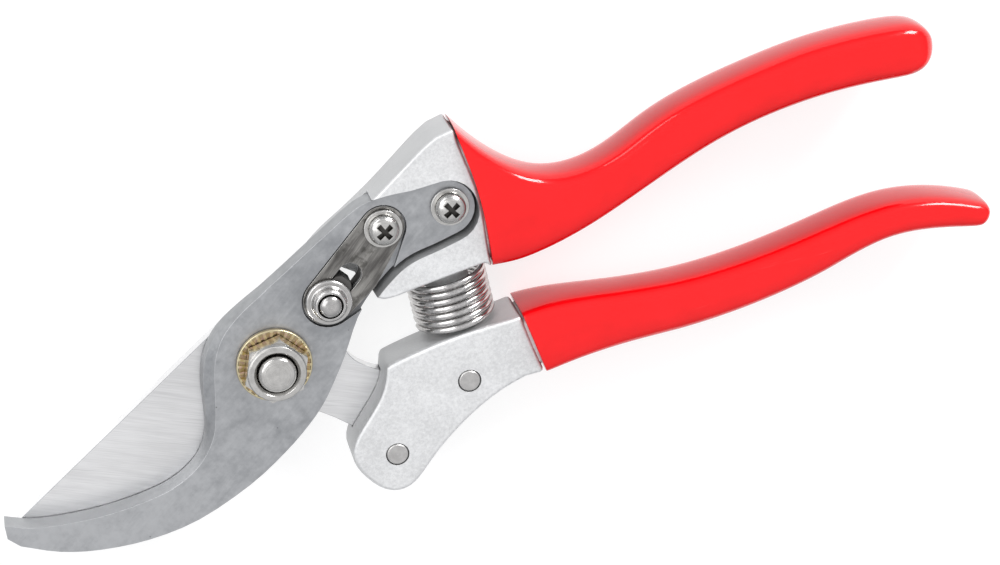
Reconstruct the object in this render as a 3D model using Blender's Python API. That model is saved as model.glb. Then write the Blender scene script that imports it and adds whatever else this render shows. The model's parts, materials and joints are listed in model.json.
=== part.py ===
"""Bypass pruning shears, modelled piece by piece in the closed and locked position.

The tool lies flat. The origin is on the pivot axis, at the back face of the pivot bolt's head.
+X runs from the jaws to the ends of the handles, +Y towards the upper handle and +Z from the
bolt's head to the nut. Outlines are drawn in millimetres in the XY plane.
"""
import math

import bpy
import bmesh
from mathutils import Matrix, Vector
from mathutils.geometry import convex_hull_2d

MM = 0.001

# Fits, in millimetres like every size below
GAP = 0.3                 # between faces that rest on each other, and round every shank
RECESS_PLAY = 0.45        # round the hook plate in its recess
RECESS_LEAN = 0.9         # more play at the mouth of the recess, on its lower side

# Overall lengths
JAW_LENGTH = 49.9         # from the front of the pivot boss to the tip of the hook
JAW_DRAWN = 49.9          # the length that the jaw outlines below are drawn at
BOSS_FRONT = -15.0        # X where the jaws start
UPPER_GRIP_LENGTH = 100.3  # straight along X, from the rim to the end of the grip
LOWER_GRIP_LENGTH = 101.6
UPPER_GRIP_DRAWN = 100.3
LOWER_GRIP_DRAWN = 101.6

# Thicknesses of the stack on the pivot, from the back to the front
BOLT_HEAD_HEIGHT = 5.8
BACK_WASHER_THICKNESS = 1.0
BLADE_THICKNESS = 3.0
HOOK_THICKNESS = 5.0
TOOTHED_WASHER_THICKNESS = 0.9
NUT_HEX_HEIGHT = 3.2
NUT_COLLAR_HEIGHT = 1.5
NUT_CHAMFER = 0.5         # round the bore's front
BOLT_END_PROUD = 0.9      # the bolt's domed end, above the nut's collar

# Pivot
BOLT_RADIUS = 4.0
BOLT_END_RADIUS = 3.65
BOLT_HEAD_RADIUS = 7.0
BACK_WASHER_RADIUS = 7.6
TOOTHED_WASHER_RADIUS = 7.85
WASHER_RIDGES = 30
RIDGE_HEIGHT = 0.2
WASHER_LIP = 0.45         # plain rim outside the ridges
NUT_ACROSS_FLATS = 12.0
NUT_COLLAR_RADIUS = 6.1

# Handles
FORGING_BELOW_SHEAR = 4.4   # forging behind the hook plate's back face
FORGING_ABOVE_HOOK = 1.4    # forging in front of the hook plate's front face
FORGING_ROUNDING = 0.9
GRIP_WALL = 1.5
GRIP_END_WALL = 3.0       # vinyl past the end of the core
GRIP_BULGE = 1.4            # how far a grip stands out from its forging, front and back
GRIP_SQUARENESS = 3.4       # exponent of the grip's cross-section
RIM_SQUARENESS = 6.0        # and at the rim, where it follows the forging
FLARE_FROM = 32.0           # X where the heads start to thicken at the back
UPPER_FLARE = 1.2           # added thickness at the rim
LOWER_FLARE = 2.6
FLARE_FADE = 26.0           # length of grip over which it fades out
UPPER_END_ROUNDING = 5.6
LOWER_END_ROUNDING = 2.0
RIM_BOW = 1.4               # how far the upper grip's rim bulges round the hook plate's end
BOW_FADE = 12.0             # length of grip over which the bulge fades out

# Screws that hold the hook plate
REAR_SCREW = (45.9, 15.9)
FRONT_SCREW = (31.7, 17.4)
SCREW_RADIUS = 2.0
SCREW_LENGTH = 7.6          # below the front face of what it clamps
SCREW_HEAD_RADIUS = 3.2
SCREW_HEAD_HEIGHT = 2.1
SCREW_WASHER_RADIUS = 4.0
SCREW_WASHER_THICKNESS = 0.7
CROSS_WIDTH = 0.95          # of an arm at the middle
CROSS_TIP_WIDTH = 1.15
CROSS_LENGTH = 3.7
CROSS_DEPTH = 1.4
CROSS_TURN = math.radians(21)

# Sliding lock
LOCK_AT = (15.5, 7.5)       # the button's axis in the locked position
LOCK_DIRECTION = math.radians(29.0)
LOCK_TRAVEL = 3.0
POCKET_DEPTH = 1.3
LEAF_THICKNESS = 0.7
LEAF_BIG_RADIUS = 5.3       # round the lock
LEAF_SMALL_RADIUS = 4.6     # round the front screw
LEAF_SIDE = (8.0, -2.0)     # middle of the leaf's wide part: along the lock's path and aside
LEAF_SIDE_RADIUS = 4.0
POCKET_SIDE_RADIUS = 6.2    # opens the pocket through the plate's lower edge
SLOT_WIDTH = 4.9
KEY_REACH = 5.9             # from the button's axis to the key's outer end
KEY_CORNER = 0.9            # cut off each corner of the key
FLANGE_RADIUS = 4.9
FLANGE_HEIGHT = 0.9
BUTTON_RADIUS = 3.5
BUTTON_HEIGHT = 2.1
STUD_RADIUS = 2.35
STUD_TAIL_RADIUS = 1.1
STUD_PROUD = 0.9
HEEL_RADIUS = 17.6          # blade's heel, behind the hook plate
NOTCH_DEPTH = 3.0

# Pins through the blade's tang
FRONT_PIN = (15.3, -29.8)
REAR_PIN = (35.3, -21.2)
PIN_RADIUS = 2.2
PIN_PROUD = 0.1

# Spring
SPRING_AT_X = 39.0          # of the spring's middle
SPRING_LEVEL = 8.8
SPRING_RADIUS = 8.65
WIRE_RADIUS = 0.68
SPRING_TURNS = 6.5
SEAT_ANGLE = math.radians(-9.0)   # slope of both seats
UPPER_SEAT_Y = 1.4
LOWER_SEAT_Y = -10.7
SEAT_BOSS_RADIUS = 4.9
SEAT_BOSS_HEIGHT = 3.4
SEAT_BOSS_ROOT = 2.5        # below the seat, inside the forging

# Levels, worked out from the thicknesses
BACK_WASHER_BACK = BOLT_HEAD_HEIGHT + GAP
BLADE_BACK = BACK_WASHER_BACK + BACK_WASHER_THICKNESS + GAP
BLADE_FRONT = BLADE_BACK + BLADE_THICKNESS
HOOK_BACK = BLADE_FRONT + GAP
HOOK_FRONT = HOOK_BACK + HOOK_THICKNESS
POCKET_FLOOR = HOOK_FRONT - POCKET_DEPTH
LEAF_BACK = POCKET_FLOOR + GAP
LEAF_FRONT = LEAF_BACK + LEAF_THICKNESS
BUTTON_BACK = LEAF_FRONT + GAP
BUTTON_FRONT = BUTTON_BACK + FLANGE_HEIGHT + BUTTON_HEIGHT
TOOTHED_WASHER_BACK = HOOK_FRONT + GAP
NUT_BACK = TOOTHED_WASHER_BACK + TOOTHED_WASHER_THICKNESS + GAP
NUT_FRONT = NUT_BACK + NUT_HEX_HEIGHT + NUT_COLLAR_HEIGHT
BOLT_END = NUT_FRONT + BOLT_END_PROUD
FORGING_BACK = HOOK_BACK - FORGING_BELOW_SHEAR
FORGING_FRONT = HOOK_FRONT + FORGING_ABOVE_HOOK
GRIP_BACK = FORGING_BACK - GRIP_BULGE
GRIP_FRONT = FORGING_FRONT + GRIP_BULGE
SPRING_MIDDLE_Y = (UPPER_SEAT_Y + LOWER_SEAT_Y) / 2

HOLE_RADIUS = BOLT_RADIUS + GAP
SCREW_HOLE_RADIUS = SCREW_RADIUS + GAP
PIN_HOLE_RADIUS = PIN_RADIUS + GAP


# ---------------------------------------------------------------- outlines and solids

def jaw(x):
    """Stretch what lies in front of the pivot boss to the jaws' length."""
    if x > BOSS_FRONT:
        return x
    return BOSS_FRONT + (x - BOSS_FRONT) * JAW_LENGTH / JAW_DRAWN


def smooth(points, steps=4):
    """A curve through points, which may carry more values than x and y."""
    first = [2 * a - b for a, b in zip(points[0], points[1])]
    last = [2 * a - b for a, b in zip(points[-1], points[-2])]
    padded = [first, *points, last]
    curve = []
    for p0, p1, p2, p3 in zip(padded, padded[1:], padded[2:], padded[3:]):
        for step in range(steps):
            t = step / steps
            curve.append(tuple(
                b + 0.5 * t * (c - a + t * (2 * a - 5 * b + 4 * c - d + t * (3 * (b - c) + d - a)))
                for a, b, c, d in zip(p0, p1, p2, p3)))
    curve.append(tuple(points[-1]))
    return curve


def arc(centre, radius, start, end, steps):
    """Points on an arc, with its angles in degrees."""
    angles = [math.radians(start + (end - start) * i / steps) for i in range(steps + 1)]
    return [(centre[0] + radius * math.cos(a), centre[1] + radius * math.sin(a)) for a in angles]


def closed(*stretches):
    """Join stretches end to end into one counter-clockwise outline without double points."""
    outline = []
    for stretch in stretches:
        for point in stretch:
            if not outline or math.dist(point[:2], outline[-1][:2]) > 0.02:
                outline.append(point)
    if math.dist(outline[0][:2], outline[-1][:2]) < 0.02:
        outline.pop()
    area = sum(a[0] * b[1] - b[0] * a[1] for a, b in zip(outline, outline[1:] + outline[:1]))
    return outline if area > 0 else outline[::-1]


def normals(outline):
    """Unit normals at the outline's points, pointing out of a counter-clockwise outline."""
    found = []
    for before, after in zip(outline[-1:] + outline[:-1], outline[1:] + outline[:1]):
        along = Vector((after[0] - before[0], after[1] - before[1])).normalized()
        found.append(Vector((along.y, -along.x)))
    return found


def grown(outline, distance):
    """The outline moved outwards."""
    return [(p[0] + n.x * distance, p[1] + n.y * distance)
            for p, n in zip(outline, normals(outline))]


def wrapped(*circles, steps=30):
    """The outline that wraps circles given as (centre, radius), such as a round-ended strip."""
    points = [point for centre, radius in circles for point in arc(centre, radius, 0, 360, steps)]
    return closed([points[i] for i in convex_hull_2d(points)])


def along_lock(distance, aside=0.0):
    """A point on the lock's path, at a distance from the locked button's axis."""
    c, s = math.cos(LOCK_DIRECTION), math.sin(LOCK_DIRECTION)
    return (LOCK_AT[0] + distance * c - aside * s, LOCK_AT[1] + distance * s + aside * c)


def add_object(name, mesh_or_bmesh, colour=None, roughness=0.4, metallic=0.0, sharp=30):
    """Link a mesh as an object with its own material."""
    mesh = mesh_or_bmesh
    if isinstance(mesh, bmesh.types.BMesh):
        mesh = bpy.data.meshes.new(name)
        mesh_or_bmesh.to_mesh(mesh)
        mesh_or_bmesh.free()
    thing = bpy.data.objects.new(name, mesh)
    bpy.context.scene.collection.objects.link(thing)
    mesh.shade_smooth()
    mesh.set_sharp_from_angle(angle=math.radians(sharp))
    if colour:
        material = bpy.data.materials.new(name)
        material.use_nodes = True
        shader = material.node_tree.nodes["Principled BSDF"]
        shader.inputs["Base Color"].default_value = (*colour, 1.0)
        shader.inputs["Roughness"].default_value = roughness
        shader.inputs["Metallic"].default_value = metallic
        mesh.materials.append(material)
    return thing


def skin(rings):
    """One closed body through rings of equal length, with a flat cap on both ends."""
    solid = bmesh.new()
    loops = [[solid.verts.new(Vector(point) * MM) for point in ring] for ring in rings]
    for lower, upper in zip(loops, loops[1:]):
        for i, vert in enumerate(lower):
            j = (i + 1) % len(lower)
            solid.faces.new((vert, lower[j], upper[j], upper[i]))
    solid.faces.new(loops[0][::-1])
    solid.faces.new(loops[-1])
    bmesh.ops.recalc_face_normals(solid, faces=solid.faces)
    return solid


def plate(outline, back, front):
    """A flat plate with straight walls."""
    return skin([[(p[0], p[1], back) for p in outline], [(p[0], p[1], front) for p in outline]])


def turned(profile, centre=(0, 0), segments=36, squeeze=None):
    """A round piece from (radius, height) points; squeeze shapes each ring's radius."""
    rings = []
    for radius, height in profile:
        ring = []
        for i in range(segments):
            angle = 2 * math.pi * i / segments
            reach = radius * (squeeze(angle) if squeeze else 1.0)
            ring.append((centre[0] + reach * math.cos(angle),
                         centre[1] + reach * math.sin(angle), height))
        rings.append(ring)
    return rings


def hollow(rings):
    """A ring-shaped piece through rings that run round its section and meet again."""
    solid = bmesh.new()
    loops = [[solid.verts.new(Vector(point) * MM) for point in ring] for ring in rings]
    for lower, upper in zip(loops, loops[1:] + loops[:1]):
        for i, vert in enumerate(lower):
            j = (i + 1) % len(lower)
            solid.faces.new((vert, lower[j], upper[j], upper[i]))
    bmesh.ops.recalc_face_normals(solid, faces=solid.faces)
    return solid


def boolean(target, tool, operation="DIFFERENCE"):
    """Cut or join with a tool that stays hidden."""
    modifier = target.modifiers.new(tool.name, "BOOLEAN")
    modifier.operation = operation
    modifier.solver = "EXACT"
    modifier.object = tool
    tool.hide_render = True
    tool.display_type = "WIRE"
    return modifier


def round_edges(target, width, segments=2):
    """Round the edges that are sharper than 40 degrees."""
    modifier = target.modifiers.new("rounding", "BEVEL")
    modifier.width = width * MM
    modifier.segments = segments
    modifier.limit_method = "ANGLE"
    modifier.angle_limit = math.radians(40)


def drill(target, label, centre, radius, back, front, segments=24):
    """A round hole."""
    rings = turned([(radius, back), (radius, front)], centre, segments)
    boolean(target, add_object(f"cut_{label}", skin(rings)))


def move_origin(thing, x, y, z):
    """Put an object's origin on a point and leave its shape where it is."""
    place = Vector((x, y, z)) * MM
    thing.data.transform(Matrix.Translation(-place))
    thing.location = place


# ---------------------------------------------------------------- hook plate outline

HOOK_END = (45.2, 15.7)
HOOK_END_RADIUS = 5.9
CHAMFER_FROM = 3.2        # height of the upright wall on the shear edge's side
WALL_LEAN = 0.15          # share of the slope's run that the upright wall takes

# Each point has the slope's run: how far the front edge stands back from the shear edge
HOOK_SHEAR_EDGE = [
    (-64.2, -8.4, 0), (-59.6, -11.3, 0), (-53.9, -13.4, 0), (-45.7, -15.4, 0.1),
    (-37.0, -16.4, 0.1), (-30.1, -16.2, 0.2), (-24.7, -14.5, 0.4), (-21.2, -11.9, 0.8),
    (-18.7, -8.2, 1.6), (-16.9, -3.0, 2.3), (-15.4, 1.6, 2.6), (-13.0, 6.2, 2.3),
    (-9.9, 9.5, 1.7), (-6.6, 11.6, 1.1), (-2.0, 13.4, 0.5), (3.8, 15.1, 0.1)]
HOOK_UPPER_EDGE = [
    (3.8, 15.1), (9.9, 17.2), (16.5, 19.6), (21.7, 21.4), (25.6, 22.8), (29.8, 23.8),
    (34.6, 23.5), (40.0, 22.3)]
HOOK_LOWER_EDGE = [
    (45.2, 9.8), (40.0, 9.6), (35.7, 9.6), (32.1, 9.0), (28.0, 7.3), (24.3, 5.2),
    (19.5, 1.6), (14.0, -4.8), (9.9, -9.0), (6.0, -12.6), (1.3, -15.8), (-5.8, -19.4),
    (-15.3, -22.9), (-27.9, -25.3), (-39.0, -24.8), (-49.0, -22.3), (-56.6, -18.9),
    (-63.2, -14.1)]


def hook_outline():
    """The hook plate, with the front edge's run as each point's third value."""
    shear = smooth([(jaw(x), y, run) for x, y, run in HOOK_SHEAR_EDGE], 3)
    upper = smooth(HOOK_UPPER_EDGE, 3)
    lower = smooth([(jaw(x), y) for x, y in HOOK_LOWER_EDGE], 3)
    end = arc(HOOK_END, HOOK_END_RADIUS, 76, -90, 12)
    nose = [(jaw(-64.9), -11.4)]
    pieces = [shear] + [[(x, y, 0.0) for x, y in part] for part in (upper, end, lower, nose)]
    return closed(*pieces)


def loft_plate(outline, levels):
    """A plate that stands back from its outline, at each level, by a share of each point's run."""
    out = normals(outline)
    return skin([[(p[0] - n.x * p[2] * share, p[1] - n.y * p[2] * share, height)
                  for p, n in zip(outline, out)] for height, share in levels])


# ---------------------------------------------------------------- handles

# Each pair is a station across the grip: a point on its upper edge and one on its lower edge
UPPER_STATIONS = [
    ((53.0, 31.8), (49.2, -0.5)), ((54.2, 28.9), (52.0, -1.5)), ((56.0, 25.2), (55.0, -2.0)),
    ((60.0, 19.2), (60.0, -2.2)), ((64.6, 14.7), (65.4, -2.0)), ((70.2, 12.2), (71.4, -1.3)),
    ((76.4, 11.6), (77.4, -0.2)), ((82.6, 12.5), (84.0, 1.2)), ((91.5, 15.0), (92.6, 2.9)),
    ((100.2, 16.1), (101.0, 4.3)), ((108.8, 16.4), (109.0, 4.9)), ((117.0, 16.3), (116.6, 4.8)),
    ((125.6, 15.9), (124.6, 4.1)), ((133.6, 14.8), (132.0, 2.9)), ((141.4, 13.2), (139.4, 1.2)),
    ((147.6, 11.5), (144.8, -0.2)), ((153.3, 9.5), (150.4, -1.3))]
LOWER_STATIONS = [
    ((50.8, -11.8), (50.8, -27.2)), ((57.0, -12.4), (57.2, -27.6)), ((64.4, -14.3), (64.8, -28.5)),
    ((72.4, -16.8), (73.0, -29.9)), ((83.6, -19.9), (82.6, -31.7)), ((94.4, -21.7), (93.4, -32.9)),
    ((104.0, -22.5), (103.4, -33.3)), ((113.0, -22.8), (112.8, -33.0)),
    ((121.4, -22.9), (120.4, -32.0)), ((129.6, -23.4), (127.6, -31.6)),
    ((137.6, -25.4), (134.2, -32.7)), ((144.8, -28.8), (140.8, -35.0)),
    ((149.6, -31.9), (145.8, -37.2)), ((152.4, -34.0), (149.2, -38.5))]


def stretched(stations, grip_length, drawn_length):
    """Stretch a grip's stations along X, from its rim."""
    rim = stations[0][0][0]
    return [tuple((rim + (x - rim) * grip_length / drawn_length, y) for x, y in pair)
            for pair in stations]


def grip_rings(stations, inset, end_rounding, bow, flare, lead=0.0, sides=16, spacing=5.5):
    """Rings of the grip's shape, moved inwards by an inset.

    The end is rounded off by end_rounding. lead adds a ring that far before the rim, bow is how
    far the rim's middle bulges along the handle, and flare is added thickness at the rim's back.
    """
    dense = smooth([(*top, *bottom) for top, bottom in stations], 8)
    middles = [((p[0] + p[2]) / 2, (p[1] + p[3]) / 2) for p in dense]
    reach = [0.0]
    for a, b in zip(middles, middles[1:]):
        reach.append(reach[-1] + math.dist(a, b))
    total = reach[-1] - (inset + GRIP_END_WALL - GRIP_WALL if inset else 0.0)
    rounding = end_rounding - min(inset, 0.5 * end_rounding)

    def station(distance):
        spot = min(max(distance, 0.0), reach[-1])
        i = max(k for k in range(len(reach) - 1) if reach[k] <= spot + 1e-9)
        f = (spot - reach[i]) / (reach[i + 1] - reach[i])
        mixed = [a + (b - a) * f for a, b in zip(dense[i], dense[i + 1])]
        top, bottom = Vector(mixed[:2]), Vector(mixed[2:])
        across = (top - bottom).normalized()
        ahead = Vector((across.y, -across.x))
        middle = (top + bottom) / 2 + ahead * min(distance, 0.0)
        return middle, across, ahead, (top - bottom).length / 2

    straight = total - rounding
    count = round(reach[-1] / spacing)
    places = [-lead] if lead else []
    places += [straight * i / count for i in range(count + 1)]
    turns = [math.radians(a) for a in (30, 55, 75, 90)]
    places += [straight + rounding * math.sin(a) for a in turns]
    rings = []
    for place in places:
        middle, across, ahead, half = station(place)
        beyond = max(place - straight, 0.0)
        back_off = rounding - math.sqrt(max(rounding ** 2 - beyond ** 2, 0.0))
        width = half - inset - back_off
        near_rim = max(0.0, 1 - max(place, 0.0) / FLARE_FADE) ** 2
        squareness = GRIP_SQUARENESS + (RIM_SQUARENESS - GRIP_SQUARENESS) * near_rim
        back = GRIP_BACK - flare * near_rim
        height = (GRIP_FRONT - back) / 2 - inset - back_off
        bulge = bow * max(0.0, 1 - max(place, 0.0) / BOW_FADE)
        ring = []
        for k in range(sides):
            angle = 2 * math.pi * k / sides
            c, s = math.cos(angle), math.sin(angle)
            v = math.copysign(abs(c) ** (2 / squareness), c)
            w = math.copysign(abs(s) ** (2 / squareness), s)
            spot = middle + across * (v * width) + ahead * (bulge * (1 - v * v) ** 2)
            ring.append((spot.x, spot.y, (GRIP_FRONT + back) / 2 + w * height))
        rings.append(ring)
    return rings


def grip_shell(stations, end_rounding, bow, flare):
    """The dipped grip: from the outer end to the rim, then inside to the inner end."""
    outer = grip_rings(stations, 0.0, end_rounding, bow, flare)
    inner = grip_rings(stations, GRIP_WALL, end_rounding, bow, flare)
    return skin(outer[::-1] + inner)


def rim_line(stations, bow, inwards):
    """The shoulder line on the forging, from its top to its bottom, clear of the rim."""
    top, bottom = (Vector(p) for p in stations[0])
    across = (top - bottom).normalized()
    ahead = Vector((across.y, -across.x))
    middle, half = (top + bottom) / 2, (top - bottom).length / 2 - inwards
    line = []
    steps = 9 if bow else 1
    for i in range(steps + 1):
        v = 1 - 2 * i / steps
        spot = middle + across * (v * half) + ahead * (bow * (1 - v * v) ** 2 - GAP)
        line.append((spot.x, spot.y))
    return line


def forging(name, head, stations, end_rounding, bow, flare):
    """A forged handle: a head that thickens to the rim, and the core inside its grip."""
    solid = plate(head, FORGING_BACK, FORGING_FRONT)
    everything = solid.verts[:] + solid.edges[:] + solid.faces[:]
    bmesh.ops.bisect_plane(solid, geom=everything, plane_co=(FLARE_FROM * MM, 0, 0),
                           plane_no=(1, 0, 0))
    slope = flare / (stations[0][1][0] - FLARE_FROM)
    for vert in solid.verts:
        if vert.co.z < HOOK_BACK * MM:
            vert.co.z -= max(0.0, vert.co.x - FLARE_FROM * MM) * slope
    body = add_object(name, solid, ALUMINIUM, 0.45, 1.0)
    round_edges(body, FORGING_ROUNDING)
    core = grip_rings(stations, GRIP_WALL + GAP, end_rounding, bow, flare, lead=CORE_LEAD)
    boolean(body, add_object(f"join_{name}_core", skin(core)), "UNION")
    return body


def on_spring_axis(profile, seat_y):
    """A turned solid on the spring's axis; its heights run up the axis from a seat."""
    solid = skin(turned(profile, segments=28))
    stand = Matrix.Rotation(math.radians(-90), 4, "X")
    lean = Matrix.Rotation(SEAT_ANGLE, 4, "Z")
    seat_x = SPRING_AT_X - (seat_y - SPRING_MIDDLE_Y) * math.tan(SEAT_ANGLE)
    place = Matrix.Translation(Vector((seat_x, seat_y, SPRING_LEVEL)) * MM)
    solid.transform(place @ lean @ stand)
    return solid


def seat_boss(body, label, seat_y, way):
    """The round boss on a spring seat; its way is 1 upwards or -1 downwards."""
    profile = [(SEAT_BOSS_RADIUS, -SEAT_BOSS_ROOT * way),
               (SEAT_BOSS_RADIUS, 0.75 * SEAT_BOSS_HEIGHT * way),
               (0.8 * SEAT_BOSS_RADIUS, SEAT_BOSS_HEIGHT * way)]
    boolean(body, add_object(f"join_{label}_boss", on_spring_axis(profile, seat_y)), "UNION")


# ---------------------------------------------------------------- colours

ALUMINIUM = (0.62, 0.63, 0.65)
SATIN_STEEL = (0.42, 0.43, 0.45)
BRIGHT_STEEL = (0.74, 0.74, 0.75)
NICKEL = (0.70, 0.69, 0.67)
YELLOW_ZINC = (0.72, 0.58, 0.28)
RED_VINYL = (0.80, 0.02, 0.02)

for thing in list(bpy.data.objects):
    bpy.data.objects.remove(thing)


# ---------------------------------------------------------------- hook plate and its screws

HOOK = hook_outline()


def slot(label, target, back, front):
    """The lock's slot, through the hook plate or the leaf."""
    outline = wrapped((along_lock(-KEY_CORNER), SLOT_WIDTH / 2), (slot_end(), SLOT_WIDTH / 2))
    boolean(target, add_object(f"cut_{label}", plate(outline, back, front)))


def slot_end():
    """Centre of the slot's round end, which lets the key travel."""
    half_key = SLOT_WIDTH / 2 - GAP
    room = math.sqrt((SLOT_WIDTH / 2) ** 2 - half_key ** 2)
    return along_lock(KEY_REACH - KEY_CORNER + LOCK_TRAVEL + GAP - room)


def make_hook_plate():
    """Forged counter blade, with the lock's pocket and slot and three holes."""
    levels = [(HOOK_BACK, 0.0), (HOOK_BACK + CHAMFER_FROM, WALL_LEAN), (HOOK_FRONT, 1.0)]
    body = add_object("hook_plate", loft_plate(HOOK, levels), SATIN_STEEL, 0.38, 1.0)
    pocket = wrapped((LOCK_AT, LEAF_BIG_RADIUS + GAP), (FRONT_SCREW, LEAF_SMALL_RADIUS + GAP),
                     (along_lock(*LEAF_SIDE), POCKET_SIDE_RADIUS))
    boolean(body, add_object("cut_pocket", plate(pocket, POCKET_FLOOR, HOOK_FRONT + 1)))
    slot("hook_slot", body, HOOK_BACK - 1, HOOK_FRONT + 1)
    drill(body, "hook_pivot", (0, 0), HOLE_RADIUS, HOOK_BACK - 1, HOOK_FRONT + 1, 36)
    drill(body, "hook_rear", REAR_SCREW, SCREW_HOLE_RADIUS, HOOK_BACK - 1, HOOK_FRONT + 1)
    drill(body, "hook_front", FRONT_SCREW, SCREW_HOLE_RADIUS, HOOK_BACK - 1, HOOK_FRONT + 1)


def cross_outline(centre):
    """The cross recess: four arms that widen a little to their tips."""
    corners = [(CROSS_LENGTH / 2, -CROSS_TIP_WIDTH / 2), (CROSS_LENGTH / 2, CROSS_TIP_WIDTH / 2),
               (CROSS_WIDTH / 2, CROSS_WIDTH / 2)]
    outline = []
    for quarter in range(4):
        turn = CROSS_TURN + math.radians(90 * quarter)
        c, s = math.cos(turn), math.sin(turn)
        outline += [(centre[0] + ahead * c - aside * s, centre[1] + ahead * s + aside * c)
                    for ahead, aside in corners]
    return outline


def make_screw(name, centre, seat):
    """Cross-recessed pan-head screw; seat is the level of what its washer rests on."""
    washer_back = seat + GAP
    washer_front = washer_back + SCREW_WASHER_THICKNESS
    under_head = washer_front + GAP
    top = under_head + SCREW_HEAD_HEIGHT
    brim = under_head + SCREW_HEAD_HEIGHT / 3
    tip = seat - SCREW_LENGTH
    dome = [(SCREW_HEAD_RADIUS * math.cos(a), brim + (top - brim) * math.sin(a))
            for a in (math.radians(d) for d in (0, 20, 40, 60, 78))]
    profile = [(SCREW_RADIUS - 0.5, tip), (SCREW_RADIUS, tip + 0.5), (SCREW_RADIUS, under_head),
               (SCREW_HEAD_RADIUS - 0.15, under_head), *dome]
    body = add_object(name, skin(turned(profile, centre, 28)), NICKEL, 0.22, 1.0)
    cross = plate(cross_outline(centre), top - CROSS_DEPTH, top + 1)
    boolean(body, add_object(f"cut_{name}_cross", cross))
    section = [(SCREW_HOLE_RADIUS, washer_back), (SCREW_WASHER_RADIUS, washer_back),
               (SCREW_WASHER_RADIUS, washer_front), (SCREW_HOLE_RADIUS, washer_front)]
    add_object(f"{name}_washer", hollow(turned(section, centre, 28)), NICKEL, 0.3, 1.0)


# ---------------------------------------------------------------- blade

BLADE_BACK_EDGE = [(-62.2, -11.0, 0), (-40.0, -2.4, 0), (-8.4, 9.9, 0)]
BLADE_HEEL_RISE = [(-8.4, 9.9, 0), (-4.6, 11.3, 0), (0.0, 12.3, 0), (5.0, 13.1, 0), (9.0, 13.6, 0)]
BLADE_NECK_UPPER = [
    (16.5, 6.1, 0), (15.9, 0.8, 0), (14.5, -5.4, 0), (14.9, -8.2, 0), (16.3, -10.5, 0),
    (19.2, -13.4, 0), (22.5, -15.2, 0), (30.0, -16.0, 0), (37.0, -16.7, 0), (39.6, -19.4, 0),
    (39.4, -23.4, 0), (35.8, -25.4, 0), (29.0, -26.9, 0), (22.6, -30.2, 0), (18.4, -33.8, 0),
    (14.2, -34.4, 0), (10.8, -31.6, 0), (10.3, -27.4, 0), (9.6, -23.6, 0), (8.0, -21.2, 0),
    (5.6, -18.2, 0), (2.4, -15.2, 0), (-2.4, -14.6, 0)]
BLADE_CUTTING_EDGE = [
    (-2.4, -14.6, 0), (-8.0, -15.8, 1.2), (-14.4, -18.2, 3.6), (-22.0, -20.8, 4.4),
    (-30.0, -21.9, 4.6), (-38.6, -21.2, 4.2), (-47.4, -18.6, 3.2), (-55.6, -14.8, 1.8),
    (-62.2, -11.0, 0)]


def blade_outline():
    """The cutting blade with its tang; third values are the ground bevel's run at the back."""
    heel = [(x, y, 0.0) for x, y in arc((0, 0), HEEL_RADIUS, 50, 20.5, 8)]
    edge = [(jaw(x), y, run) for x, y, run in BLADE_CUTTING_EDGE]
    back = [(jaw(x), y, run) for x, y, run in BLADE_BACK_EDGE]
    rise = [(jaw(x), y, run) for x, y, run in BLADE_HEEL_RISE]
    return closed(back, smooth(rise, 3), heel, smooth(BLADE_NECK_UPPER, 3), smooth(edge, 3))


BLADE = blade_outline()


def make_blade():
    """Blade and tang in one plate, with the pivot hole, two pin holes and the lock's notch."""
    body = add_object("cutting_blade", loft_plate(BLADE, [(BLADE_BACK, 1.0), (BLADE_FRONT, 0.0)]),
                      BRIGHT_STEEL, 0.28, 1.0)
    drill(body, "blade_pivot", (0, 0), HOLE_RADIUS, BLADE_BACK - 1, BLADE_FRONT + 1, 36)
    drill(body, "blade_front_pin", FRONT_PIN, PIN_HOLE_RADIUS, BLADE_BACK - 1, BLADE_FRONT + 1)
    drill(body, "blade_rear_pin", REAR_PIN, PIN_HOLE_RADIUS, BLADE_BACK - 1, BLADE_FRONT + 1)
    heading = math.atan2(LOCK_AT[1], LOCK_AT[0])
    bottom = HEEL_RADIUS - NOTCH_DEPTH + SLOT_WIDTH / 2
    notch = wrapped(*(((r * math.cos(heading), r * math.sin(heading)), SLOT_WIDTH / 2)
                      for r in (bottom, HEEL_RADIUS + 6)))
    boolean(body, add_object("cut_notch", plate(notch, BLADE_BACK - 1, BLADE_FRONT + 1)))


# ---------------------------------------------------------------- forged handles and grips

UPPER = stretched(UPPER_STATIONS, UPPER_GRIP_LENGTH, UPPER_GRIP_DRAWN)
LOWER = stretched(LOWER_STATIONS, LOWER_GRIP_LENGTH, LOWER_GRIP_DRAWN)

UPPER_HEAD_TOP = [
    (14.7, 16.4), (15.9, 17.9), (20.3, 20.0), (25.5, 21.8), (31.0, 23.9), (36.4, 26.1),
    (41.8, 28.5), (45.6, 30.1), (48.8, 31.1)]
UPPER_HEAD_BOTTOM = [
    (48.0, 1.6), (42.4, 2.0), (33.6, 2.6), (28.8, 2.8), (26.0, 3.4), (24.4, 4.9), (24.0, 6.6)]
LOWER_HEAD_TOP = [
    (20.6, -10.6), (24.0, -10.4), (30.6, -10.4), (36.0, -10.7), (42.0, -11.4), (48.2, -12.3)]
LOWER_HEAD_FRONT = [
    (20.6, -10.6), (19.2, -13.4), (17.0, -16.3), (14.0, -18.8), (10.6, -21.3), (8.0, -23.6),
    (6.6, -26.2), (6.5, -29.2), (7.4, -32.2), (9.0, -35.3), (11.2, -37.4), (13.8, -38.1),
    (16.4, -37.6), (19.2, -36.0), (24.0, -32.9), (29.6, -30.1), (35.2, -27.9), (41.0, -26.4),
    (46.4, -25.8)]
HEAD_STEP = 0.7           # the shoulder's ends, in from the grip's rim
CORE_LEAD = 5.0           # how far a core reaches back into its head
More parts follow.
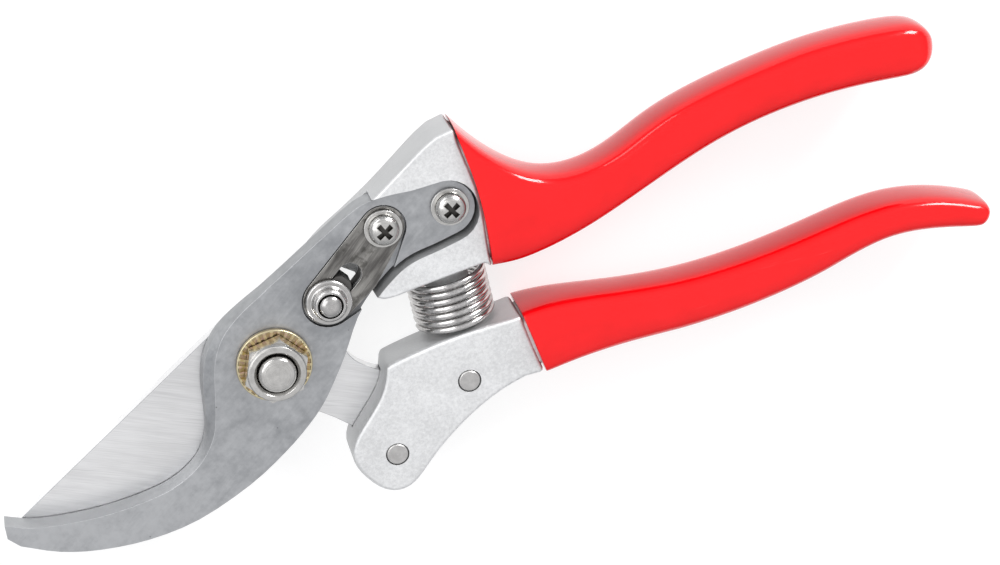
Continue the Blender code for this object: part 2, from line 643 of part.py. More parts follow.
LOCK_ROOM = 3.2           # half the width of the clearance behind the lock


def make_upper_handle():
    """Forging with the hook plate's recess, screw holes, spring seat and lock clearance."""
    shoulder = rim_line(UPPER, RIM_BOW, HEAD_STEP)
    head = closed(smooth(UPPER_HEAD_TOP, 2), shoulder, smooth(UPPER_HEAD_BOTTOM, 2))
    body = forging("upper_handle", head, UPPER, UPPER_END_ROUNDING, RIM_BOW, UPPER_FLARE)
    seat_boss(body, "upper_seat", UPPER_SEAT_Y, -1)
    floor = [(x, y, HOOK_BACK - GAP) for x, y in grown(HOOK, RECESS_PLAY)]
    mouth = [(p[0] + n.x * reach, p[1] + n.y * reach, FORGING_FRONT + 1)
             for p, n in zip(HOOK, normals(HOOK))
             for reach in [RECESS_PLAY + RECESS_LEAN * max(0.0, -n.y)]]
    boolean(body, add_object("cut_recess", skin([floor, mouth])))
    room = wrapped((along_lock(-6), LOCK_ROOM), (along_lock(LOCK_TRAVEL + 4), LOCK_ROOM))
    boolean(body, add_object("cut_lock_room", plate(room, BLADE_BACK, HOOK_BACK)))
    depth = FORGING_BACK + 1.2
    drill(body, "upper_rear_screw", REAR_SCREW, SCREW_HOLE_RADIUS, depth, HOOK_FRONT)
    drill(body, "upper_front_screw", FRONT_SCREW, SCREW_HOLE_RADIUS, depth, HOOK_FRONT)


def make_lower_handle():
    """Forging with the slot for the blade's tang, two pin holes and the spring seat."""
    shoulder = rim_line(LOWER, 0.0, HEAD_STEP)
    head = closed(smooth(LOWER_HEAD_FRONT, 2), shoulder[::-1], smooth(LOWER_HEAD_TOP, 2)[::-1])
    body = forging("lower_handle", head, LOWER, LOWER_END_ROUNDING, 0.0, LOWER_FLARE)
    seat_boss(body, "lower_seat", LOWER_SEAT_Y, 1)
    tang = plate(grown([p[:2] for p in BLADE], GAP), BLADE_BACK - GAP, BLADE_FRONT + GAP)
    boolean(body, add_object("cut_tang", tang))
    for label, pin in (("front", FRONT_PIN), ("rear", REAR_PIN)):
        drill(body, f"lower_{label}_pin", pin, PIN_HOLE_RADIUS, FORGING_BACK - LOWER_FLARE,
              FORGING_FRONT + 1)


def make_grips():
    """Dipped vinyl grips, closed at the end and open at the rim."""
    upper = grip_shell(UPPER, UPPER_END_ROUNDING, RIM_BOW, UPPER_FLARE)
    add_object("upper_grip", upper, RED_VINYL, 0.25, 0.0, sharp=60)
    lower = grip_shell(LOWER, LOWER_END_ROUNDING, 0.0, LOWER_FLARE)
    add_object("lower_grip", lower, RED_VINYL, 0.25, 0.0, sharp=60)


def make_tang_pins():
    """Two pins through the lower forging and the tang, level with the forging's faces."""
    for name, centre in (("front_tang_pin", FRONT_PIN), ("rear_tang_pin", REAR_PIN)):
        back = FORGING_BACK - PIN_PROUD
        if name == "rear_tang_pin":
            back -= (centre[0] - FLARE_FROM) * LOWER_FLARE / (LOWER[0][1][0] - FLARE_FROM)
        front = FORGING_FRONT + PIN_PROUD
        profile = [(PIN_RADIUS - 0.25, back), (PIN_RADIUS, back + 0.25),
                   (PIN_RADIUS, front - 0.25), (PIN_RADIUS - 0.25, front)]
        pin = add_object(name, skin(turned(profile, centre, 28)), NICKEL, 0.35, 1.0)
        move_origin(pin, centre[0], centre[1], (back + front) / 2)


# ---------------------------------------------------------------- pivot

def hexagon(angle):
    """A hexagon's reach at an angle, as a share of its half width across flats."""
    sector = math.radians(60)
    return 1 / math.cos((angle % sector) - sector / 2)


def serrated_rings(back, front):
    """The toothed washer's section rings: plain inside and at the lip, ridged between."""
    inner, outer = HOLE_RADIUS + WASHER_LIP, TOOTHED_WASHER_RADIUS - WASHER_LIP
    section = [(HOLE_RADIUS, back), (TOOTHED_WASHER_RADIUS, back), (TOOTHED_WASHER_RADIUS, front),
               (outer, front), (outer - 0.1, front), (inner + 0.1, front), (inner, front),
               (HOLE_RADIUS, front)]
    rings = turned(section, segments=4 * WASHER_RIDGES)
    for ring in rings[4:6]:
        for i, (x, y, height) in enumerate(ring):
            ring[i] = (x, y, height - (RIDGE_HEIGHT if i % 4 > 1 else 0.0))
    return rings


def make_pivot():
    """Bolt from the back, flat washer, toothed washer and nut."""
    dome = [(BOLT_END_RADIUS * math.cos(a), BOLT_END - 0.5 + 0.5 * math.sin(a))
            for a in (math.radians(d) for d in (0, 30, 60, 80))]
    profile = [(BOLT_HEAD_RADIUS - 0.7, 0.0), (BOLT_HEAD_RADIUS, 0.7),
               (BOLT_HEAD_RADIUS, BOLT_HEAD_HEIGHT), (BOLT_RADIUS, BOLT_HEAD_HEIGHT),
               (BOLT_RADIUS, BOLT_END - 1.1), *dome]
    add_object("pivot_bolt", skin(turned(profile)), NICKEL, 0.2, 1.0)

    back, front = BACK_WASHER_BACK, BACK_WASHER_BACK + BACK_WASHER_THICKNESS
    section = [(HOLE_RADIUS, back), (BACK_WASHER_RADIUS, back), (BACK_WASHER_RADIUS, front),
               (HOLE_RADIUS, front)]
    add_object("pivot_back_washer", hollow(turned(section)), NICKEL, 0.35, 1.0)

    back, front = TOOTHED_WASHER_BACK, TOOTHED_WASHER_BACK + TOOTHED_WASHER_THICKNESS
    washer = hollow(serrated_rings(back, front))
    add_object("pivot_toothed_washer", washer, YELLOW_ZINC, 0.35, 1.0)

    flats, shoulder = NUT_ACROSS_FLATS / 2, NUT_BACK + NUT_HEX_HEIGHT
    hex_rings = turned([(flats, NUT_BACK), (flats, shoulder)], segments=6, squeeze=hexagon)
    nut = add_object("pivot_nut", skin(hex_rings), NICKEL, 0.2, 1.0)
    collar = turned([(NUT_COLLAR_RADIUS, shoulder - 1), (NUT_COLLAR_RADIUS, NUT_FRONT - 0.6),
                     (NUT_COLLAR_RADIUS - 0.2, NUT_FRONT - 0.2),
                     (NUT_COLLAR_RADIUS - 0.7, NUT_FRONT)])
    boolean(nut, add_object("join_nut_collar", skin(collar)), "UNION")
    bore = turned([(HOLE_RADIUS, NUT_BACK - 1), (HOLE_RADIUS, NUT_FRONT - NUT_CHAMFER),
                   (HOLE_RADIUS + 2 * NUT_CHAMFER, NUT_FRONT + NUT_CHAMFER)])
    boolean(nut, add_object("cut_nut", skin(bore)))


# ---------------------------------------------------------------- lock

def make_lock():
    """Leaf in the hook plate's pocket; button, stud and key that slide along its slot."""
    strip = plate(wrapped((LOCK_AT, LEAF_BIG_RADIUS), (FRONT_SCREW, LEAF_SMALL_RADIUS),
                          (along_lock(*LEAF_SIDE), LEAF_SIDE_RADIUS)), LEAF_BACK, LEAF_FRONT)
    leaf = add_object("lock_leaf_spring", strip, SATIN_STEEL, 0.25, 1.0)
    slot("leaf_slot", leaf, LEAF_BACK - 1, LEAF_FRONT + 1)
    drill(leaf, "leaf_screw", FRONT_SCREW, SCREW_HOLE_RADIUS, LEAF_BACK - 1, LEAF_FRONT + 1)

    flange = BUTTON_BACK + FLANGE_HEIGHT
    bore = STUD_RADIUS + GAP
    section = [(bore, BUTTON_BACK), (FLANGE_RADIUS - 0.25, BUTTON_BACK),
               (FLANGE_RADIUS, BUTTON_BACK + 0.25), (FLANGE_RADIUS, flange - 0.3),
               (FLANGE_RADIUS - 0.3, flange), (BUTTON_RADIUS + 0.3, flange),
               (BUTTON_RADIUS, flange + 0.3), (BUTTON_RADIUS, BUTTON_FRONT - 0.45),
               (BUTTON_RADIUS - 0.45, BUTTON_FRONT), (bore, BUTTON_FRONT)]
    button = add_object("lock_button", hollow(turned(section, LOCK_AT, 32)), NICKEL, 0.22, 1.0)
    move_origin(button, *LOCK_AT, BUTTON_BACK)

    tail = HOOK_BACK + 1.2
    crown = [(STUD_RADIUS * math.cos(a), BUTTON_FRONT + STUD_PROUD * math.sin(a))
             for a in (math.radians(d) for d in (0, 25, 50, 72))]
    profile = [(STUD_TAIL_RADIUS, tail), (STUD_TAIL_RADIUS, BUTTON_BACK), (STUD_RADIUS, BUTTON_BACK),
               *crown]
    stud = add_object("lock_stud", skin(turned(profile, LOCK_AT, 24)), NICKEL, 0.2, 1.0)
    move_origin(stud, *LOCK_AT, BUTTON_BACK)

    half = SLOT_WIDTH / 2 - GAP
    flat = half - KEY_CORNER
    outline = closed([along_lock(-flat, half), along_lock(-half, flat), along_lock(-half, -flat),
                      along_lock(-flat, -half), along_lock(KEY_REACH - KEY_CORNER, -half),
                      along_lock(KEY_REACH, -flat), along_lock(KEY_REACH, flat),
                      along_lock(KEY_REACH - KEY_CORNER, half)])
    key = add_object("lock_key", plate(outline, HOOK_BACK + GAP, LEAF_FRONT), BRIGHT_STEEL, 0.3, 1.0)
    drill(key, "key", LOCK_AT, STUD_TAIL_RADIUS + GAP, tail - GAP, LEAF_FRONT + 1, 20)


# ---------------------------------------------------------------- spring

def make_spring():
    """Compression spring between the two seats, its turns nearly closed up."""
    wire = bpy.data.curves.new("coil_spring", "CURVE")
    wire.dimensions = "3D"
    wire.bevel_depth = WIRE_RADIUS * MM
    wire.bevel_resolution = 0
    wire.use_fill_caps = True
    line = wire.splines.new("POLY")
    per_turn = 16
    steps = round(SPRING_TURNS * per_turn)
    line.points.add(steps)
    length = (UPPER_SEAT_Y - LOWER_SEAT_Y) / math.cos(SEAT_ANGLE) - 2 * GAP - 2 * WIRE_RADIUS
    radius = SPRING_RADIUS - WIRE_RADIUS
    for i, point in enumerate(line.points):
        angle = 2 * math.pi * i / per_turn
        point.co = (radius * math.cos(angle) * MM, length * (0.5 - i / steps) * MM,
                    radius * math.sin(angle) * MM, 1)
    spring = bpy.data.objects.new("coil_spring", wire)
    bpy.context.scene.collection.objects.link(spring)
    spring.location = Vector((SPRING_AT_X, SPRING_MIDDLE_Y, SPRING_LEVEL)) * MM
    spring.rotation_euler = (0, 0, SEAT_ANGLE)
    material = bpy.data.materials.new("coil_spring")
    material.use_nodes = True
    shader = material.node_tree.nodes["Principled BSDF"]
    shader.inputs["Base Color"].default_value = (*NICKEL, 1.0)
    shader.inputs["Roughness"].default_value = 0.18
    shader.inputs["Metallic"].default_value = 1.0
    wire.materials.append(material)


make_hook_plate()
make_screw("rear_hook_screw", REAR_SCREW, HOOK_FRONT)
make_screw("front_hook_screw", FRONT_SCREW, LEAF_FRONT)
make_blade()
make_upper_handle()
make_lower_handle()
make_grips()
make_tang_pins()
make_pivot()
make_lock()
make_spring()
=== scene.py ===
"""Bypass pruning shears, lying flat, closed and locked.

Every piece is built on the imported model's own frame: metres, the origin at the back of the pivot
bolt's head, +X towards the ends of the handles, +Y towards the upper handle, +Z up from the table.
The sections follow the tool as it is put together, from the hook plate to the handle spring.
"""
import json
import math

import bmesh
import bpy
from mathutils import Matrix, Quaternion, Vector
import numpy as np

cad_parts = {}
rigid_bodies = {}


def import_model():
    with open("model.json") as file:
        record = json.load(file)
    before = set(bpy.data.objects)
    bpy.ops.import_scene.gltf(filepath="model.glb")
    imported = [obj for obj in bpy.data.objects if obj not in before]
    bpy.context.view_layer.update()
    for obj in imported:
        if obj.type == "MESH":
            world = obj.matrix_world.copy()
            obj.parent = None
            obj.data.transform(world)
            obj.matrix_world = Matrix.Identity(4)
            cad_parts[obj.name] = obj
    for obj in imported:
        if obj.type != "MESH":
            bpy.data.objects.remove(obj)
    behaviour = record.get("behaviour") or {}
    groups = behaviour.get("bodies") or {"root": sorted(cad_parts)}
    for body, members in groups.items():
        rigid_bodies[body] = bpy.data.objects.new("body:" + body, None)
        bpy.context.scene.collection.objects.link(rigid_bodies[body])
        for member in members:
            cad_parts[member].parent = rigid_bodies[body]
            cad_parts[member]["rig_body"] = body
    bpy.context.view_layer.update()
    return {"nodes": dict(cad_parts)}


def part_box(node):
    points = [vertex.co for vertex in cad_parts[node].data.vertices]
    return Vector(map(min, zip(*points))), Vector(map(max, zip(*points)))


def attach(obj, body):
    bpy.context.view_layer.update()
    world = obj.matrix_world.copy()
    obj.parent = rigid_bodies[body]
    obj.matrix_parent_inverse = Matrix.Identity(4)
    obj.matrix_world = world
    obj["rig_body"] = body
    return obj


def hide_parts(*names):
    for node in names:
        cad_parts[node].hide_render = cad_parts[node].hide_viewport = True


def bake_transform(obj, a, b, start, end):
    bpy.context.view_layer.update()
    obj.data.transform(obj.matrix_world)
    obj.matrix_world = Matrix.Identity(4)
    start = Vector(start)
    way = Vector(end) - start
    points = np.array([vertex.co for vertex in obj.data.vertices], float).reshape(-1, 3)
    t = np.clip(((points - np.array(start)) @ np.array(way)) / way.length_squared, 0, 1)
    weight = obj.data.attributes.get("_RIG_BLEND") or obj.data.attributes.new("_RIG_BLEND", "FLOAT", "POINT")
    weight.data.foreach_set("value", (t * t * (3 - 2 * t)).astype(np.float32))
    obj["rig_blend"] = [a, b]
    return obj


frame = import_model()


# ---------------------------------------------------------------- hook plate
# The counter blade is a forged and ground steel plate, 5 mm thick. Its faces are left satin,
# its edges are broken with a narrow bright chamfer, and it is screwed into the upper forging.

MM = 0.001
SAME_PLACE = 0.000002
FLAT_WITHIN = math.radians(0.4)
SHARP_CORNER = 38         # degrees, the least turn between two faces that counts as a corner
CORNER_STEPS = 2
SMOOTH_UP_TO = math.radians(55)


class Paint:
    """One output in a node tree. Arithmetic on it adds Math nodes to that tree."""

    def __init__(self, tree, socket=None):
        self.tree = tree
        self.socket = socket

    def add(self, kind, settings=None, inputs=None, output=0):
        """Another node of the tree: its settings first, then its sockets' values or links."""
        node = self.tree.nodes.new(kind)
        for name, value in (settings or {}).items():
            setattr(node, name, value)
        for name, value in (inputs or {}).items():
            if isinstance(value, Paint):
                self.tree.links.new(value.socket, node.inputs[name])
            else:
                node.inputs[name].default_value = value
        return Paint(self.tree, node.outputs[output] if node.outputs else None)

    def other(self, name):
        """Another output of the same node."""
        return Paint(self.tree, self.socket.node.outputs[name])

    def math(self, operation, *values):
        """A Math node on these values."""
        return self.add("ShaderNodeMath", {"operation": operation}, dict(enumerate(values)))

    def __add__(self, value):
        return self.math("ADD", self, value)

    def __sub__(self, value):
        return self.math("SUBTRACT", self, value)

    def __rsub__(self, value):
        return self.math("SUBTRACT", value, self)

    def __mul__(self, value):
        return self.math("MULTIPLY", self, value)

    def __truediv__(self, value):
        return self.math("DIVIDE", self, value)

    __radd__ = __add__
    __rmul__ = __mul__

    def axis(self, name):
        """One part of this vector."""
        return self.add("ShaderNodeSeparateXYZ", None, {"Vector": self}, name)

    def from_axis(self, x, y):
        """This place's distance in millimetres from an upright axis."""
        flat = self.vector("SUBTRACT", (x, y, 0.0)).vector("MULTIPLY", (1.0, 1.0, 0.0))
        return flat.vector("LENGTH", (0.0, 0.0, 0.0), "Value")

    def between(self, low, high, start=0.0, end=1.0):
        """The value's way from low to high, as a way from start to end that stops at both."""
        return self.add("ShaderNodeMapRange", {"interpolation_type": "SMOOTHSTEP"},
                        {0: self, 1: low, 2: high, 3: start, 4: end})

    def vector(self, operation, value, output=0):
        """A Vector Math node on this vector and another."""
        return self.add("ShaderNodeVectorMath", {"operation": operation}, {0: self, 1: value},
                        output)

    def blend(self, first, second):
        """The first colour where this value is 0, and the second where it is 1."""
        return self.add("ShaderNodeMix", {"data_type": "RGBA"}, {0: self, 6: first, 7: second}, 2)

    def noise(self, scale, detail=3.0):
        """Noise on this vector, about 0.5."""
        return self.add("ShaderNodeTexNoise", None, {"Vector": self, "Scale": scale,
                                                     "Detail": detail})

    def streaks(self, heading, scale, length, detail=4.0):
        """Fine lines along a heading in the XY plane, each some lengths long."""
        turned = self.add("ShaderNodeVectorRotate", {"rotation_type": "Z_AXIS"},
                          {"Vector": self, "Angle": -heading})
        return turned.vector("MULTIPLY", (1 / length, 1.0, 1.0)).noise(scale, detail)

    def specks(self, spacing, size, share):
        """Round specks on a scatter of cells: 1 in a speck's middle, for a share of the cells."""
        cells = self.add("ShaderNodeTexVoronoi", None, {"Vector": self, "Scale": 1 / spacing})
        drawn = cells.other("Color").add("ShaderNodeSeparateColor",
                                         None, {"Color": cells.other("Color")})
        there = drawn.between(1 - share, 1 - share + 0.02)
        return cells.other("Distance").between(size / spacing, 0.3 * size / spacing) * there

    def bump(self, height):
        """A normal from this value, which rises by a height in millimetres from 0 to 1."""
        return self.add("ShaderNodeBump", None, {"Height": self, "Distance": height * MM,
                                                 "Strength": 1.0})


def new_finish(name, fixed):
    """A material with these fixed shader values, and its object coordinates in millimetres."""
    material = bpy.data.materials.new(name)
    material.use_nodes = True
    shader = material.node_tree.nodes["Principled BSDF"]
    for socket, value in fixed.items():
        shader.inputs[socket].default_value = value
    place = Paint(material.node_tree).add("ShaderNodeTexCoord", output="Object")
    return material, place.vector("MULTIPLY", (1 / MM, 1 / MM, 1 / MM))


def feed(material, **varying):
    """Link what changes over the surface to the shader: base_color feeds Base Color."""
    shader = material.node_tree.nodes["Principled BSDF"]
    for name, paint in varying.items():
        socket = shader.inputs[name.replace("_", " ").title()]
        material.node_tree.links.new(paint.socket, socket)


def middle_of(node):
    """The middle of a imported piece's box."""
    low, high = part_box(node)
    return (low + high) / 2


def merged_copy(node):
    """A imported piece's shape with its triangles joined and its flat faces whole again."""
    source = frame["nodes"][node].data
    mesh = bpy.data.meshes.new(node)
    mesh.from_pydata([v.co for v in source.vertices], [], [p.vertices for p in source.polygons])
    shape = bmesh.new()
    shape.from_mesh(mesh)
    bmesh.ops.remove_doubles(shape, verts=shape.verts, dist=SAME_PLACE)
    bmesh.ops.dissolve_limit(shape, angle_limit=FLAT_WITHIN, verts=shape.verts,
                             edges=shape.edges)
    return shape, mesh


def stand_in(node, mesh, material):
    """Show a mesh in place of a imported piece, on the same body."""
    piece = bpy.data.objects.new(f"{node}_shown", mesh)
    bpy.context.scene.collection.objects.link(piece)
    mesh.materials.clear()
    mesh.materials.append(material)
    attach(piece, frame["nodes"][node]["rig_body"])
    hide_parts(node)
    return piece


def dressed(node, material, chamfer, sharper_than=SHARP_CORNER):
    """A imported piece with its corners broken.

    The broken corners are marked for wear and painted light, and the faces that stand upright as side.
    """
    shape, mesh = merged_copy(node)
    edge_wear_and_lighting = shape.faces.layers.float.new("edge_wear_and_lighting")
    side = shape.faces.layers.float.new("side")
    corners = [e for e in shape.edges if len(e.link_faces) == 2
               and e.calc_face_angle() > math.radians(sharper_than)]
    made = bmesh.ops.bevel(shape, geom=corners, offset=chamfer * MM, segments=CORNER_STEPS,
                           profile=0.5, affect="EDGES", clamp_overlap=True)
    shape.normal_update()
    for face in made["faces"]:
        face[edge_wear_and_lighting] = 1.0
    for face in shape.faces:
        face[side] = 1.0 - abs(face.normal.z)
    shape.to_mesh(mesh)
    shape.free()
    mesh.shade_smooth()
    mesh.set_sharp_from_angle(angle=SMOOTH_UP_TO)
    piece = stand_in(node, mesh, material)
    piece.modifiers.new("flat faces", "WEIGHTED_NORMAL").keep_sharp = True
    return piece


JAW_POLISH_FROM = 3.0
JAW_POLISH_TO = -48.0
LOCK_DARKER_RADIUS = 14.0
LOCK_DARKER_FULL = 4.0
SLOT_SHADE_RADIUS = 9.0
SLOT_SHADE_FULL = 7.0
SLOT_SHADE_FROM = 0.9      # below the plate's face, where the painted shade in the lock's slot starts
PAST_BUTTON = Vector((3.0, 1.5, 0.0))     # from the button's middle to the slot's open end

hook_steel, place = new_finish("satin_hook_steel", {"Metallic": 1.0})
edge_wear_and_lighting = place.add("ShaderNodeAttribute", {"attribute_name": "edge_wear_and_lighting"}, output="Fac")
side = place.add("ShaderNodeAttribute", {"attribute_name": "side"}, output="Fac")
cloud = place.noise(0.13, 4.0)
blotches = place.noise(0.5, 6.0)
scale_marks = place.noise(1.1, 5.0)
grain = place.noise(5.0, 3.0)
pits = place.specks(2.4, 0.22, 0.16)
grinding = place.streaks(math.radians(28), 2.2, 12.0, 5.0)
polish = place.axis("X").between(JAW_POLISH_FROM, JAW_POLISH_TO)
slot_end = middle_of("lock_button") / MM + PAST_BUTTON
near_lock = place.from_axis(slot_end.x, slot_end.y)
plate_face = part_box("hook_plate")[1].z / MM
sunk = (plate_face - place.axis("Z")).between(SLOT_SHADE_FROM, 2 * SLOT_SHADE_FROM)
slot_shade = sunk * near_lock.between(SLOT_SHADE_RADIUS, SLOT_SHADE_FULL)
# The tone is darker towards the lock.
tone = (cloud * 0.32 + blotches * 0.3 + scale_marks * 0.16 + grain * 0.10 + grinding * 0.12
        + polish * 0.12 - near_lock.between(LOCK_DARKER_RADIUS, LOCK_DARKER_FULL) * 0.14)
steel = tone.between(0.28, 0.72).blend((0.33, 0.34, 0.355, 1), (0.56, 0.57, 0.585, 1))
# Upright faces are painted darker: painted shade on the plate's sides and chamfers.
steel = (side.between(0.25, 0.6) * 0.45).blend(steel, (0.26, 0.265, 0.27, 1))
# The broken edges are lighter: partly rubbed wear, partly a painted highlight along the chamfers.
steel = (edge_wear_and_lighting * (scale_marks * 0.6 + 0.2)).blend(steel, (0.72, 0.73, 0.74, 1))
steel = (pits * 0.75).blend(steel, (0.12, 0.12, 0.12, 1))
# Sunk faces near the slot are painted near black: painted shade in the lock's slot and pocket.
steel = (slot_shade * 0.85).blend(steel, (0.05, 0.045, 0.04, 1))
feed(hook_steel, base_color=steel,
     roughness=0.40 + 0.16 * scale_marks - 0.08 * polish - 0.08 * edge_wear_and_lighting + 0.2 * slot_shade,
     normal=(scale_marks * 0.6 + grain * 0.35 + grinding * 0.4 - pits).bump(0.035))
dressed("hook_plate", hook_steel, 0.28)


# ---------------------------------------------------------------- hook plate's screws
# Two M4 pan-head screws with cross recesses hold the plate, each on a flat washer. They are
# nickel-plated steel, bright and slightly hazed, with turning marks round their axes.

TURNING_MARKS = 9.0       # to the millimetre


def turned_nickel(name, centre, tint=(0.70, 0.69, 0.67), roughness=0.16):
    """Nickel plate on a turned piece, with tool marks round its own axis."""
    material, place = new_finish(name, {"Metallic": 1.0})
    radius = place.from_axis(centre.x / MM, centre.y / MM)
    marks = radius.add("ShaderNodeTexNoise", {"noise_dimensions": "1D"},
                       {"W": radius * TURNING_MARKS, "Scale": 1.0, "Detail": 3.0})
    haze = place.noise(0.8, 4.0)
    edge_wear_and_lighting = place.add("ShaderNodeAttribute", {"attribute_name": "edge_wear_and_lighting"}, output="Fac")
    deep = place.add("ShaderNodeAttribute", {"attribute_name": "deep"}, output="Fac")
    shade = haze * 0.4 + marks * 0.6
    plate = shade.between(0.3, 0.75).blend((*(0.70 * c for c in tint), 1),
                                           (*(1.08 * c for c in tint), 1))
    # The broken edges are lighter: partly rubbed wear, partly a painted highlight.
    plate = (edge_wear_and_lighting * 0.4).blend(plate, (0.90, 0.89, 0.88, 1))
    # Faces marked deep, in a screw's cross recess, are painted near black: painted shade.
    plate = (deep * 0.9).blend(plate, (0.05, 0.045, 0.04, 1))
    feed(material, base_color=plate, roughness=roughness + 0.16 * haze + 0.3 * deep,
         normal=marks.bump(0.012))
    return material


RECESS_BELOW = 0.25       # painted shade lies in the cross deeper than this under the head's top
RECESS_WITHIN = 2.3
UPRIGHT = 0.5             # a face stands upright where its normal rises less than this

for node in ("rear_hook_screw", "front_hook_screw"):
    centre = middle_of(node)
    plated = turned_nickel(f"{node}_nickel", centre)
    screw = dressed(node, plated, 0.07)
    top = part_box(node)[1].z
    # Faces deep in the cross recess are marked deep, for painted shade.
    deep = screw.data.attributes.new("deep", "FLOAT", "FACE")
    for face, recess_shade in zip(screw.data.polygons, deep.data):
        from_axis = (face.center - centre).xy.length
        upright = abs(face.normal.z) < UPRIGHT
        sunk = top - face.center.z > RECESS_BELOW * MM
        recess_shade.value = float(from_axis < RECESS_WITHIN * MM and sunk
                           and (upright or face.center.z < top - 2 * RECESS_BELOW * MM))
    dressed(f"{node}_washer", plated, 0.12)


# ---------------------------------------------------------------- cutting blade and lock key
# The blade and its tang are one 3 mm plate of carbon steel, ground bright on both faces. The
# wheel leaves fine lines across it. The lock's key is a small block of the same steel.

GRIND_HEADING = math.radians(-33)
DARK_PATCH_REACH = 11.0       # of the dark patch on the tang round the lock's slot
DARK_PATCH_FULL = 7.0
TIP_POLISH_FROM = -20.0
TIP_POLISH_TO = -56.0

blade_steel, place = new_finish("ground_blade_steel", {"Metallic": 1.0})
fine = place.streaks(GRIND_HEADING, 5.0, 40.0)
coarse = place.streaks(GRIND_HEADING - 0.06, 1.1, 22.0, 6.0)
deep = place.streaks(GRIND_HEADING + 0.05, 2.6, 60.0, 2.0).between(0.64, 0.76)
cloud = place.noise(0.07, 3.0)
tip = place.axis("X").between(TIP_POLISH_FROM, TIP_POLISH_TO)
shine = fine * 0.40 + coarse * 0.32 + cloud * 0.3 + tip * 0.10
steel = shine.between(0.25, 0.8).blend((0.70, 0.70, 0.705, 1), (0.96, 0.96, 0.965, 1))
steel = (deep * 0.35).blend(steel, (0.50, 0.50, 0.50, 1))
edge_wear_and_lighting = place.add("ShaderNodeAttribute", {"attribute_name": "edge_wear_and_lighting"}, output="Fac")
# The blade's broken edges are painted darker: painted shade that draws a dark line along them.
steel = (edge_wear_and_lighting * 0.9).blend(steel, (0.30, 0.305, 0.31, 1))
# The steel is darker in blotches round the lock's slot.
dark_patch = place.from_axis(slot_end.x, slot_end.y).between(DARK_PATCH_REACH, DARK_PATCH_FULL)
dark_patch = dark_patch * place.noise(0.4, 5.0).between(0.2, 0.45)
steel = (dark_patch * 0.88).blend(steel, (0.045, 0.04, 0.035, 1))
feed(blade_steel, base_color=steel, roughness=0.27 + 0.20 * coarse + 0.2 * dark_patch,
     normal=(fine * 0.6 + coarse - deep * 0.6).bump(0.015))
dressed("cutting_blade", blade_steel, 0.12)
dressed("lock_key", blade_steel, 0.12)


# ---------------------------------------------------------------- forged handles
# Both handles are drop-forged aluminium, tumbled to a fine pale satin skin. Small pits stay in
# the skin, and a faint flash line runs round the middle of the sides.

FLASH_HALF_WIDTH = 0.22
FLASH_LEVEL = 0.46        # share of the forging's thickness
FORGED_CORNER = 50        # degrees, as the forging's gentler turns are already round

low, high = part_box("upper_handle")
flash_level = (low.z + (high.z - low.z) * FLASH_LEVEL) / MM
forged_aluminium, place = new_finish("forged_aluminium", {"Metallic": 0.78})
edge_wear_and_lighting = place.add("ShaderNodeAttribute", {"attribute_name": "edge_wear_and_lighting"}, output="Fac")
side = place.add("ShaderNodeAttribute", {"attribute_name": "side"}, output="Fac")
above = place.axis("Z") - flash_level
flash = above.math("ABSOLUTE", above).between(FLASH_HALF_WIDTH, 0.4 * FLASH_HALF_WIDTH)
cloud = place.noise(0.12, 4.0)
skin = place.noise(1.5, 6.0)
grain = place.noise(6.0, 3.0)
pits = place.specks(2.8, 0.26, 0.16)
nicks = place.streaks(math.radians(68), 0.8, 9.0, 3.0).between(0.68, 0.78)
scratches = place.streaks(math.radians(-12), 1.4, 30.0, 2.0).between(0.68, 0.76)
tone = cloud * 0.45 + skin * 0.55 + grain * 0.3
metal = tone.between(0.40, 0.90).blend((0.70, 0.705, 0.71, 1), (0.92, 0.925, 0.93, 1))
# Upright faces are painted darker: painted shade on the forging's side walls.
metal = (side.between(0.2, 0.9) * 0.75).blend(metal, (0.42, 0.425, 0.43, 1))
# The broken edges are lighter: partly tumbled wear, partly a painted highlight.
metal = (edge_wear_and_lighting * (skin * 0.5)).blend(metal, (0.90, 0.90, 0.91, 1))
metal = (pits * 0.85).blend(metal, (0.16, 0.16, 0.16, 1))
metal = (nicks * 0.35 + scratches * 0.25).blend(metal, (0.45, 0.45, 0.45, 1))
feed(forged_aluminium, base_color=metal, roughness=0.44 + 0.18 * skin - 0.06 * edge_wear_and_lighting,
     normal=(skin * 0.8 + grain * 0.6 - pits * 1.5 - nicks * 0.6 - scratches * 0.4
             + flash * 0.5).bump(0.05))
for node in ("upper_handle", "lower_handle"):
    dressed(node, forged_aluminium, 0.30, FORGED_CORNER)


# ---------------------------------------------------------------- dipped grips
# Each handle is dipped in liquid vinyl, which sets as a glossy skin 1.5 mm thick with a crisp
# rim where the dip ended. It is smooth, with the faint waviness of a poured surface.

RIM_ROUNDING = 0.32
RIM_TURN = math.radians(62)
QUAD_FLATNESS = math.radians(50)
QUAD_SKEW = math.radians(60)
SMOOTHING = 2

red_vinyl, place = new_finish("red_vinyl", {
    "Specular IOR Level": 0.22, "IOR": 1.5, "Coat Weight": 0.5, "Coat Roughness": 0.06})
sag = place.noise(0.05, 2.0)
orange_peel = place.noise(0.55, 2.0)
handling = place.noise(0.22, 5.0)
dust = place.specks(5.0, 0.22, 0.20)
scuffs = place.streaks(math.radians(-8), 0.9, 14.0, 3.0).between(0.68, 0.80)
red = (sag * 0.6 + handling * 0.4).between(0.3, 0.7).blend(
    (0.78, 0.001, 0.003, 1), (0.88, 0.002, 0.005, 1))
side = place.add("ShaderNodeAttribute", {"attribute_name": "side"}, output="Fac")
